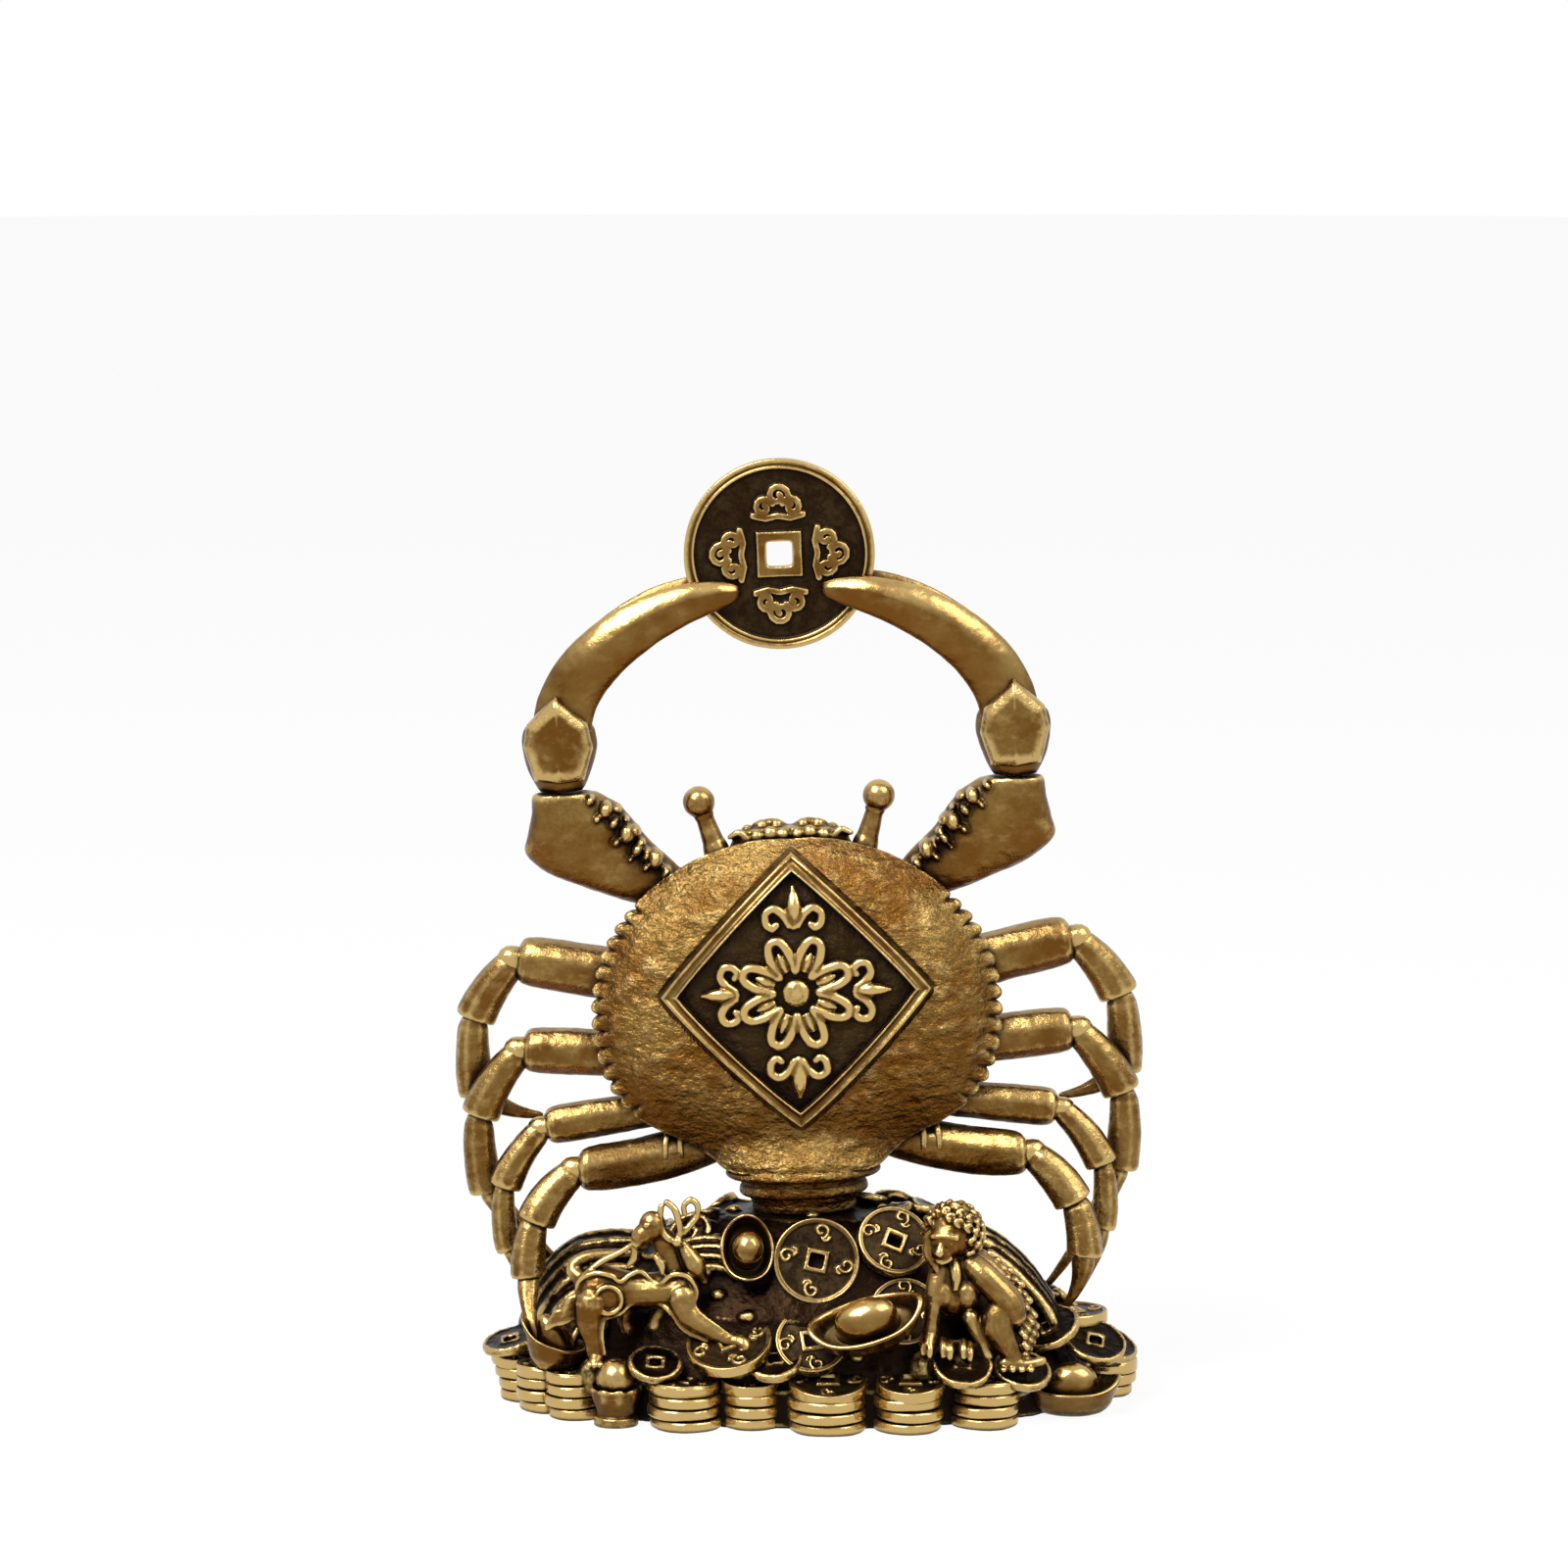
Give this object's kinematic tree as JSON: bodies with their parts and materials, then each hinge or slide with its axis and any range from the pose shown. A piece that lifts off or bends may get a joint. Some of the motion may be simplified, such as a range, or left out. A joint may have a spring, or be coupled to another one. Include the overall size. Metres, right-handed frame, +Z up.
{
  "type": "crab figurine",
  "caption": "Brass crab figurine standing on a ringed foot over a heap of coins and ingots, with its claws raised to hold a square-holed coin",
  "frame": {"origin": "centre of the underside, below the middle of the figurine's bounding box", "axes": "+Z up, +X to the right of a viewer who faces the crab's shell, +Y away from that viewer"},
  "size_m": [0.0735, 0.0409, 0.0999],
  "materials": {
    "shell_brass": "satin",
    "leg_brass": "satin",
    "bright_brass": "satin",
    "coin_brass": "satin",
    "heap_brass": "matte",
    "screw_steel": "satin"
  },
  "bodies": {
    "root": {"heap_mound": "heap_brass", "front_left_stacks": "coin_brass", "front_middle_stacks": "coin_brass", "front_centre_stack": "coin_brass", "front_right_stacks": "coin_brass", "right_end_stacks": "coin_brass", "back_right_stacks": "coin_brass", "back_middle_stacks": "coin_brass", "back_left_stacks": "coin_brass", "upright_coin": "coin_brass", "tilted_coin": "coin_brass", "coin_behind_ingot": "coin_brass", "leaning_coin": "coin_brass", "paw_coin": "coin_brass", "slope_coins": "coin_brass", "ledge_coin": "coin_brass", "big_ingot": "bright_brass", "right_ingot": "bright_brass", "left_ingot": "bright_brass", "upper_ingot": "bright_brass", "pearl_bowl": "coin_brass", "pearl": "bright_brass", "left_beast": "bright_brass", "right_beast": "bright_brass", "foot_screw": "screw_steel", "ringed_foot": "shell_brass", "belly_shell": "leg_brass", "carapace": "shell_brass", "plaque_frame": "bright_brass", "plaque_flower": "bright_brass", "mouth_plate": "leg_brass", "held_coin": "shell_brass", "left_eye_stalk": "leg_brass", "left_claw_arm": "leg_brass", "left_claw_wrist": "leg_brass", "left_front_finger": "bright_brass", "left_back_finger": "leg_brass", "right_eye_stalk": "leg_brass", "right_claw_arm": "leg_brass", "right_claw_wrist": "leg_brass", "right_front_finger": "bright_brass", "right_back_finger": "leg_brass", "left_leg_1_upper": "leg_brass", "left_leg_1_lower": "leg_brass", "left_leg_2_upper": "leg_brass", "left_leg_2_lower": "leg_brass", "left_leg_3_upper": "leg_brass", "left_leg_3_lower": "leg_brass", "left_leg_4_upper": "leg_brass", "left_leg_4_lower": "leg_brass", "right_leg_1_upper": "leg_brass", "right_leg_1_lower": "leg_brass", "right_leg_2_upper": "leg_brass", "right_leg_2_lower": "leg_brass", "right_leg_3_upper": "leg_brass", "right_leg_3_lower": "leg_brass", "right_leg_4_upper": "leg_brass", "right_leg_4_lower": "leg_brass"}
  },
  "joints": []
}
